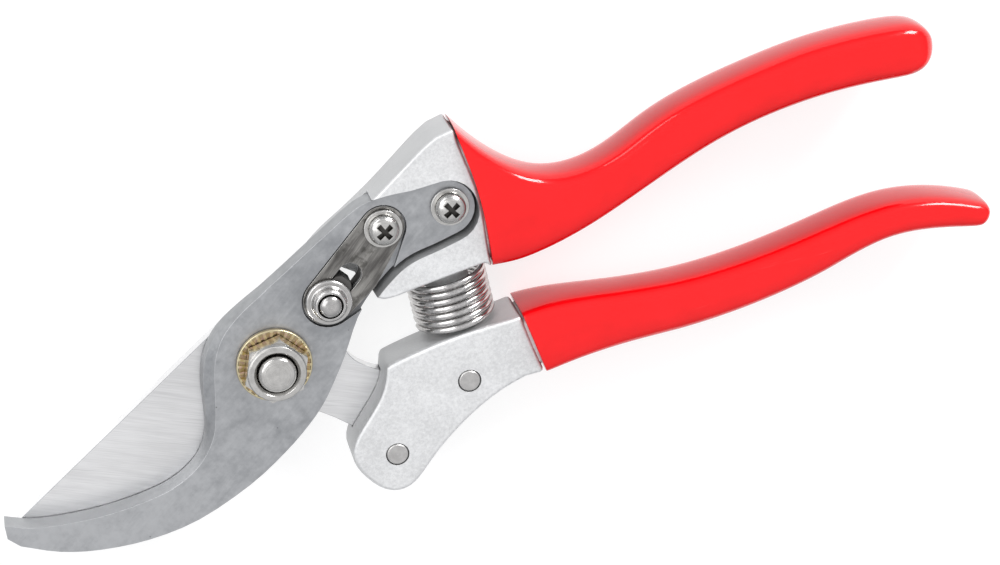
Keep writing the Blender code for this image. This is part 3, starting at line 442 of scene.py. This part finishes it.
# Upright skin is painted a darker red: painted shade on the grips' sides.
red = (side.between(0.25, 0.95) * 0.75).blend(red, (0.30, 0.002, 0.005, 1))
red = (scuffs * 0.10).blend(red, (0.85, 0.12, 0.12, 1))
red = (dust * 0.35).blend(red, (0.35, 0.004, 0.006, 1))
feed(red_vinyl, base_color=red, roughness=0.11 + 0.14 * handling + 0.12 * scuffs,
     normal=(sag * 1.0 + orange_peel * 0.14 + dust * 0.3).bump(0.12))


def dipped(node):
    """A grip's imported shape, made of quads, with a rounded rim, and smoothed.

    Its side attribute is 0 where the skin lies flat and 1 where it stands upright.
    """
    shape, mesh = merged_copy(node)
    bmesh.ops.join_triangles(shape, faces=shape.faces, angle_face_threshold=QUAD_FLATNESS,
                             angle_shape_threshold=QUAD_SKEW)
    rim = [e for e in shape.edges if len(e.link_faces) == 2
           and e.calc_face_angle() > RIM_TURN]
    bmesh.ops.bevel(shape, geom=rim, offset=RIM_ROUNDING * MM, segments=2, profile=0.5,
                    affect="EDGES", clamp_overlap=True)
    shape.normal_update()
    side = shape.verts.layers.float.new("side")
    for vert in shape.verts:
        vert[side] = 1.0 - abs(vert.normal.z)
    shape.to_mesh(mesh)
    shape.free()
    mesh.shade_smooth()
    piece = stand_in(node, mesh, red_vinyl)
    smooth = piece.modifiers.new("smooth", "SUBSURF")
    smooth.levels = SMOOTHING
    smooth.render_levels = SMOOTHING


dipped("upper_grip")
dipped("lower_grip")


# ---------------------------------------------------------------- tang pins
# Two steel pins pass through the lower forging and the blade's tang, and are ground flush with
# the forging's faces, so only their round ends show.

PIN_FILL = 0.12           # how far a pin is upset into its hole

for node in ("front_tang_pin", "rear_tang_pin"):
    centre = middle_of(node)
    pin_steel = turned_nickel(f"{node}_steel", centre, (0.66, 0.65, 0.64), 0.34)
    pin = dressed(node, pin_steel, 0.06)
    for vertex in pin.data.vertices:
        outwards = (vertex.co - centre) * Vector((1.0, 1.0, 0.0))
        on_the_rim = outwards.length > MM
        vertex.co += outwards.normalized() * (PIN_FILL * MM if on_the_rim else 0.0)


# ---------------------------------------------------------------- pivot
# An M8 bolt runs through the stack from the back. It carries a flat washer under the blade, a
# serrated washer plated in yellow zinc, and a hexagon nut with a turned collar.

for node, chamfer in (("pivot_bolt", 0.14), ("pivot_back_washer", 0.14), ("pivot_nut", 0.22)):
    dressed(node, turned_nickel(f"{node}_nickel", middle_of(node), roughness=0.13),
            chamfer)

WASHER_RIM_FROM = 7.2
WASHER_RIM_FULL = 7.45
RIDGE_SHADE_FROM = 0.08         # below the top of the lip, between the ridges
RIDGE_SHADE_FULL = 0.16

yellow_zinc, place = new_finish("yellow_zinc", {"Metallic": 1.0})
radius = place.from_axis(0.0, 0.0)
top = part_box("pivot_toothed_washer")[1].z / MM
ridge_shade = (top - place.axis("Z")).between(RIDGE_SHADE_FROM, RIDGE_SHADE_FULL)
bath = place.noise(0.35, 3.0)
rub = place.noise(1.6, 4.0)
pale = (0.80, 0.73, 0.50, 1)
zinc = bath.between(0.38, 0.62).blend((0.46, 0.34, 0.12, 1), (0.68, 0.56, 0.32, 1))
zinc = (rub.between(0.48, 0.64) * 0.6).blend(zinc, (0.66, 0.42, 0.40, 1))
zinc = (radius.between(WASHER_RIM_FROM, WASHER_RIM_FULL) * 0.7).blend(zinc, pale)
# Below the lip's top, between the ridges, the zinc is painted darker: painted shade.
zinc = (ridge_shade * 0.45).blend(zinc, (0.26, 0.17, 0.10, 1))
feed(yellow_zinc, base_color=zinc, roughness=0.22 + 0.2 * rub, normal=rub.bump(0.02))


def grown(name, sizes, material, build):
    """A plain mesh from a Geometry Nodes tree whose named inputs are these sizes."""
    tree = bpy.data.node_groups.new(name, "GeometryNodeTree")
    tree.interface.new_socket("Geometry", in_out="OUTPUT", socket_type="NodeSocketGeometry")
    kinds = {int: "NodeSocketInt", float: "NodeSocketFloat", Vector: "NodeSocketVector"}
    inputs = {}
    for label, value in sizes.items():
        inputs[label] = tree.interface.new_socket(label, in_out="INPUT",
                                                  socket_type=kinds[type(value)])
    finish = tree.interface.new_socket("Material", in_out="INPUT",
                                       socket_type="NodeSocketMaterial")
    given = Paint(tree).add("NodeGroupInput")
    made = build({label: given.other(label) for label in sizes})
    real = made.add("GeometryNodeRealizeInstances", None, {"Geometry": made})
    real.add("NodeGroupOutput", None, {"Geometry": real.add(
        "GeometryNodeSetMaterial", None, {"Geometry": real, "Material": given.other("Material")})})
    holder = bpy.data.objects.new(name, bpy.data.meshes.new(name))
    bpy.context.scene.collection.objects.link(holder)
    modifier = holder.modifiers.new(name, "NODES")
    modifier.node_group = tree
    for label, value in sizes.items():
        modifier[inputs[label].identifier] = value
    modifier[finish.identifier] = material
    depsgraph = bpy.context.evaluated_depsgraph_get()
    mesh = bpy.data.meshes.new_from_object(holder.evaluated_get(depsgraph),
                                           preserve_all_data_layers=True, depsgraph=depsgraph)
    bpy.data.objects.remove(holder)
    return mesh


SERRATIONS = 30
SERRATION_HEIGHT = 0.2
SERRATION_SHARE = 0.9     # of the room that each ridge has at the washer's middle
SERRATIONS_START = 1.3    # in bore radii from the axis
LIP_WIDTH = 0.45
BORE_RADIUS = 4.3
BOLT_HEAD_RADIUS = 7.0
WASHER_SMOOTH_UP_TO = math.radians(40)
RING_STEPS = 180
LIP_STEPS = 12

low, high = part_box("pivot_toothed_washer")
washer_sizes = {
    "Bore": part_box("pivot_bolt")[1].x * BORE_RADIUS / BOLT_HEAD_RADIUS,
    "Outer Radius": high.x, "Back": low.z,
    "Thickness": high.z - low.z - SERRATION_HEIGHT * MM, "Serrations": SERRATIONS,
    "Serration Height": SERRATION_HEIGHT * MM, "Lip": LIP_WIDTH * MM}


def serrated_washer(size):
    """A flat ring with a raised lip round its rim and radial ridges inside the lip."""
    middle = (size["Bore"] + size["Outer Radius"]) / 2
    path = middle.add("GeometryNodeCurvePrimitiveCircle", None,
                      {"Resolution": RING_STEPS, "Radius": middle})
    section = middle.add("GeometryNodeCurvePrimitiveQuadrilateral", None,
                         {"Width": size["Outer Radius"] - size["Bore"],
                          "Height": size["Thickness"]})
    ring = middle.add("GeometryNodeCurveToMesh", None, {"Curve": path, "Profile Curve": section})
    rim = size["Outer Radius"] - size["Lip"] / 2
    rim_path = middle.add("GeometryNodeCurvePrimitiveCircle", None,
                          {"Resolution": RING_STEPS, "Radius": rim})
    bead = middle.add("GeometryNodeCurvePrimitiveCircle", None,
                      {"Resolution": LIP_STEPS, "Radius": size["Lip"] / 2})
    lip = middle.add("GeometryNodeCurveToMesh", None, {"Curve": rim_path, "Profile Curve": bead})
    lip_up = middle.add("ShaderNodeCombineXYZ", None,
                        {"Z": size["Thickness"] / 2 + size["Serration Height"] - size["Lip"] / 2})
    lip = middle.add("GeometryNodeTransform", None, {"Geometry": lip, "Translation": lip_up})
    inner = size["Bore"] * SERRATIONS_START
    ridge_size = middle.add("ShaderNodeCombineXYZ", None,
                            {"X": rim - inner,
                             "Y": middle * (math.pi / SERRATIONS) * SERRATION_SHARE,
                             "Z": size["Serration Height"] * 2})
    ridge = middle.add("GeometryNodeMeshCube", None, {"Size": ridge_size})
    stations = middle.add("GeometryNodeMeshCircle", None,
                          {"Vertices": size["Serrations"], "Radius": (rim + inner) / 2})
    index = middle.add("GeometryNodeInputIndex")
    turn = middle.add("ShaderNodeCombineXYZ", None,
                      {"Z": index * (2 * math.pi) / size["Serrations"]})
    ridges = middle.add("GeometryNodeInstanceOnPoints", None,
                        {"Points": stations, "Instance": ridge,
                         "Rotation": middle.add("FunctionNodeEulerToRotation", None,
                                                {"Euler": turn})})
    ridges_up = middle.add("ShaderNodeCombineXYZ", None, {"Z": size["Thickness"] / 2})
    ridges = middle.add("GeometryNodeTransform", None,
                        {"Geometry": ridges, "Translation": ridges_up})
    joined = middle.add("GeometryNodeJoinGeometry")
    for part in (ring, lip, ridges):
        middle.tree.links.new(part.socket, joined.socket.node.inputs["Geometry"])
    place = middle.add("ShaderNodeCombineXYZ", None,
                       {"Z": size["Back"] + size["Thickness"] / 2})
    return joined.add("GeometryNodeTransform", None, {"Geometry": joined, "Translation": place})


washer_mesh = grown("pivot_toothed_washer", washer_sizes, yellow_zinc, serrated_washer)
washer_mesh.shade_smooth()
washer_mesh.set_sharp_from_angle(angle=WASHER_SMOOTH_UP_TO)
stand_in("pivot_toothed_washer", washer_mesh, yellow_zinc)


# ---------------------------------------------------------------- lock
# A strip of spring steel lies in the hook plate's pocket. The thumb button slides along the
# strip's slot: a flanged ring with a domed stud pressed through it, both nickel-plated.

leaf_heading = (middle_of("front_hook_screw") - middle_of("lock_stud")).xy
leaf_heading = math.atan2(leaf_heading.y, leaf_heading.x)
spring_steel, place = new_finish("spring_steel_strip", {"Metallic": 1.0})
edge_wear_and_lighting = place.add("ShaderNodeAttribute", {"attribute_name": "edge_wear_and_lighting"}, output="Fac")
rolled = place.streaks(leaf_heading, 6.0, 30.0)
rubbed = place.streaks(leaf_heading, 0.5, 4.0, 4.0)
stain = place.noise(0.42, 5.0)
shade = rolled * 0.25 + rubbed * 0.75
strip = shade.between(0.35, 0.65).blend((0.13, 0.125, 0.12, 1), (0.40, 0.39, 0.37, 1))
strip = (stain.between(0.55, 0.7) * 0.7).blend(strip, (0.08, 0.078, 0.07, 1))
# The broken edges are lighter: partly rubbed wear, partly a painted highlight.
strip = (edge_wear_and_lighting * 0.6).blend(strip, (0.62, 0.61, 0.60, 1))
feed(spring_steel, base_color=strip, roughness=0.17 + 0.26 * stain,
     normal=(rolled + rubbed * 0.5).bump(0.012))
dressed("lock_leaf_spring", spring_steel, 0.10)

HANDLED_NICKEL = (0.60, 0.59, 0.58)

for node, chamfer in (("lock_button", 0.10), ("lock_stud", 0.08)):
    dressed(node, turned_nickel(f"{node}_nickel", middle_of(node), HANDLED_NICKEL),
            chamfer)


# ---------------------------------------------------------------- handle spring
# A compression spring of nickel-plated wire is squeezed nearly solid between the two seats. Its
# end coils sit round the seats' bosses, and the rest opens up as the handles part.

TURNS = 6.5
STEPS_PER_TURN = 48
WIRE_RADIUS = 0.68
WIRE_SIDES = 14
COIL_SMOOTH_UP_TO = math.radians(60)
SEAT_SLOPE = math.radians(-9.0)
SITTING_TURNS = 0.75      # at each end, held by the seat and its boss

low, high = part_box("coil_spring")
wire_radius = WIRE_RADIUS * MM
outer_radius = (high.z - low.z) / 2
spring_centre = (low + high) / 2
coil_radius = outer_radius - wire_radius
lean_height = abs(math.sin(SEAT_SLOPE)) * 2 * coil_radius + 2 * wire_radius

# The wire starts and ends on the near sides of the leaning coil, so one turn adds no height
spring_length = (high.y - low.y - lean_height) / math.cos(SEAT_SLOPE) / (1 - 1 / TURNS)

spring_wire, place = new_finish("spring_wire", {"Metallic": 1.0})
drawn = place.noise(2.6, 3.0)
dull = place.noise(0.3, 4.0)
wire = (drawn * 0.4 + dull * 0.6).between(0.35, 0.65).blend(
    (0.44, 0.43, 0.425, 1), (0.74, 0.725, 0.715, 1))
feed(spring_wire, base_color=wire, roughness=0.08 + 0.16 * dull, normal=drawn.bump(0.008))

spring_sizes = {
    "Turns": TURNS, "Steps": int(TURNS * STEPS_PER_TURN), "Coil Radius": coil_radius,
    "Wire Radius": wire_radius, "Length": spring_length, "Centre": spring_centre,
    "Slope": SEAT_SLOPE}


def wound_wire(size):
    """Wire wound round the Y axis from +Y to -Y, with its share of the way kept as along."""
    steps = size["Steps"]
    line = steps.add("GeometryNodeMeshLine", None, {"Count": steps + 1})
    line = steps.add("GeometryNodeMeshToCurve", None, {"Mesh": line})
    share = steps.add("GeometryNodeInputIndex") / steps
    angle = share * size["Turns"] * (2 * math.pi)
    spot = steps.add("ShaderNodeCombineXYZ", None,
                     {"X": angle.math("COSINE", angle) * size["Coil Radius"],
                      "Y": (0.5 - share) * size["Length"],
                      "Z": angle.math("SINE", angle) * size["Coil Radius"]})
    wound = steps.add("GeometryNodeSetPosition", None, {"Geometry": line, "Position": spot})
    wound = steps.add("GeometryNodeStoreNamedAttribute", {"domain": "POINT"},
                      {"Geometry": wound, "Name": "along", "Value": share})
    section = steps.add("GeometryNodeCurvePrimitiveCircle", None,
                        {"Resolution": WIRE_SIDES, "Radius": size["Wire Radius"]})
    coil = steps.add("GeometryNodeCurveToMesh", None,
                     {"Curve": wound, "Profile Curve": section, "Fill Caps": True})
    lean = steps.add("ShaderNodeCombineXYZ", None, {"Z": size["Slope"]})
    return steps.add("GeometryNodeTransform", None,
                     {"Geometry": coil, "Translation": size["Centre"],
                      "Rotation": steps.add("FunctionNodeEulerToRotation", None, {"Euler": lean})})


coil_mesh = grown("coil_spring", spring_sizes, spring_wire, wound_wire)
coil_mesh.shade_smooth()
coil_mesh.set_sharp_from_angle(angle=COIL_SMOOTH_UP_TO)
coil = bpy.data.objects.new("coil_spring_shown", coil_mesh)
bpy.context.scene.collection.objects.link(coil)
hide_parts("coil_spring")
axis = Vector((-math.sin(SEAT_SLOPE), math.cos(SEAT_SLOPE), 0.0)) * spring_length / 2
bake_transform(coil, "upper_half", "lower_half", spring_centre + axis, spring_centre - axis)

# Each cross-section of the wire follows the two handles as one, so the wire keeps its thickness
sitting = SITTING_TURNS / TURNS
for along, follows in zip(coil_mesh.attributes["along"].data,
                          coil_mesh.attributes["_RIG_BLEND"].data):
    follows.value = min(max((along.value - sitting) / (1 - 2 * sitting), 0.0), 1.0)


# ---------------------------------------------------------------- table, light and camera
# The tool lies on a plain white table under a soft light. A stronger one beyond the ends of the
# handles and a low one at the back draw the bright lines along the edges. The table shines a
# little by itself, which keeps the red of the grips from spreading over it.

TABLE_HALF = 3.0
TABLE_BELOW = 0.0002

table_mesh = bpy.data.meshes.new("table")
table_mesh.from_pydata([(-TABLE_HALF, -TABLE_HALF, 0), (TABLE_HALF, -TABLE_HALF, 0),
                        (TABLE_HALF, TABLE_HALF, 0), (-TABLE_HALF, TABLE_HALF, 0)],
                       [], [(0, 1, 2, 3)])
table = bpy.data.objects.new("table", table_mesh)
table.location.z = -TABLE_BELOW
bpy.context.scene.collection.objects.link(table)
table_white, place = new_finish("table_white", {
    "Roughness": 0.9, "Specular IOR Level": 0.1, "Emission Strength": 0.72,
    "Emission Color": (1.0, 1.0, 1.0, 1)})
feed(table_white, base_color=place.noise(0.02, 2.0).blend((0.35, 0.35, 0.35, 1),
                                                          (0.37, 0.37, 0.37, 1)))
table_mesh.materials.append(table_white)

world = bpy.data.worlds.new("studio")
bpy.context.scene.world = world
world.use_nodes = True
sky = Paint(world.node_tree).add("ShaderNodeTexCoord", output="Generated")
height = sky.add("ShaderNodeSeparateXYZ", None, {"Vector": sky}, "Z")
background = world.node_tree.nodes["Background"]
world.node_tree.links.new(height.between(0.0, 0.9).blend((0.42, 0.43, 0.45, 1),
                                                         (0.95, 0.95, 0.96, 1)).socket,
                          background.inputs["Color"])
background.inputs["Strength"].default_value = 0.84

AIM = Vector((0.04945, -0.00584, 0.0120))


def soft_light(name, direction, distance, width, height, watts):
    """A rectangular lamp at a distance from the tool, facing it."""
    lamp = bpy.data.lights.new(name, "AREA")
    lamp.shape = "RECTANGLE"
    lamp.size = width
    lamp.size_y = height
    lamp.energy = watts
    light = bpy.data.objects.new(name, lamp)
    way = Vector(direction).normalized()
    light.location = AIM + way * distance
    light.rotation_euler = way.to_track_quat("Z", "Y").to_euler()
    bpy.context.scene.collection.objects.link(light)


soft_light("overhead", (-0.50, 0.42, 0.78), distance=1.3, width=0.9, height=0.9, watts=4.0)
soft_light("beyond_the_handles", (0.74, 0.47, 0.37), distance=1.2, width=0.38, height=0.46,
           watts=12.0)
soft_light("from_the_back", (-0.35, 0.9, 0.42), distance=1.3, width=0.9, height=0.22, watts=2.5)

TOWARDS_CAMERA = Vector((-0.04505, 0.39449, 0.91780))
CAMERA_DISTANCE = 0.55208
ROLL = math.radians(149.754)

lens = bpy.data.cameras.new("camera")
lens.lens = 95.4
lens.sensor_width = 36.0
lens.clip_start = 0.01
camera = bpy.data.objects.new("camera", lens)
camera.location = AIM + TOWARDS_CAMERA * CAMERA_DISTANCE
camera.rotation_mode = "QUATERNION"
camera.rotation_quaternion = (TOWARDS_CAMERA.to_track_quat("Z", "Y")
                              @ Quaternion((0.0, 0.0, 1.0), ROLL))
bpy.context.scene.collection.objects.link(camera)
bpy.context.scene.camera = camera
bpy.context.scene.view_settings.view_transform = "Standard"
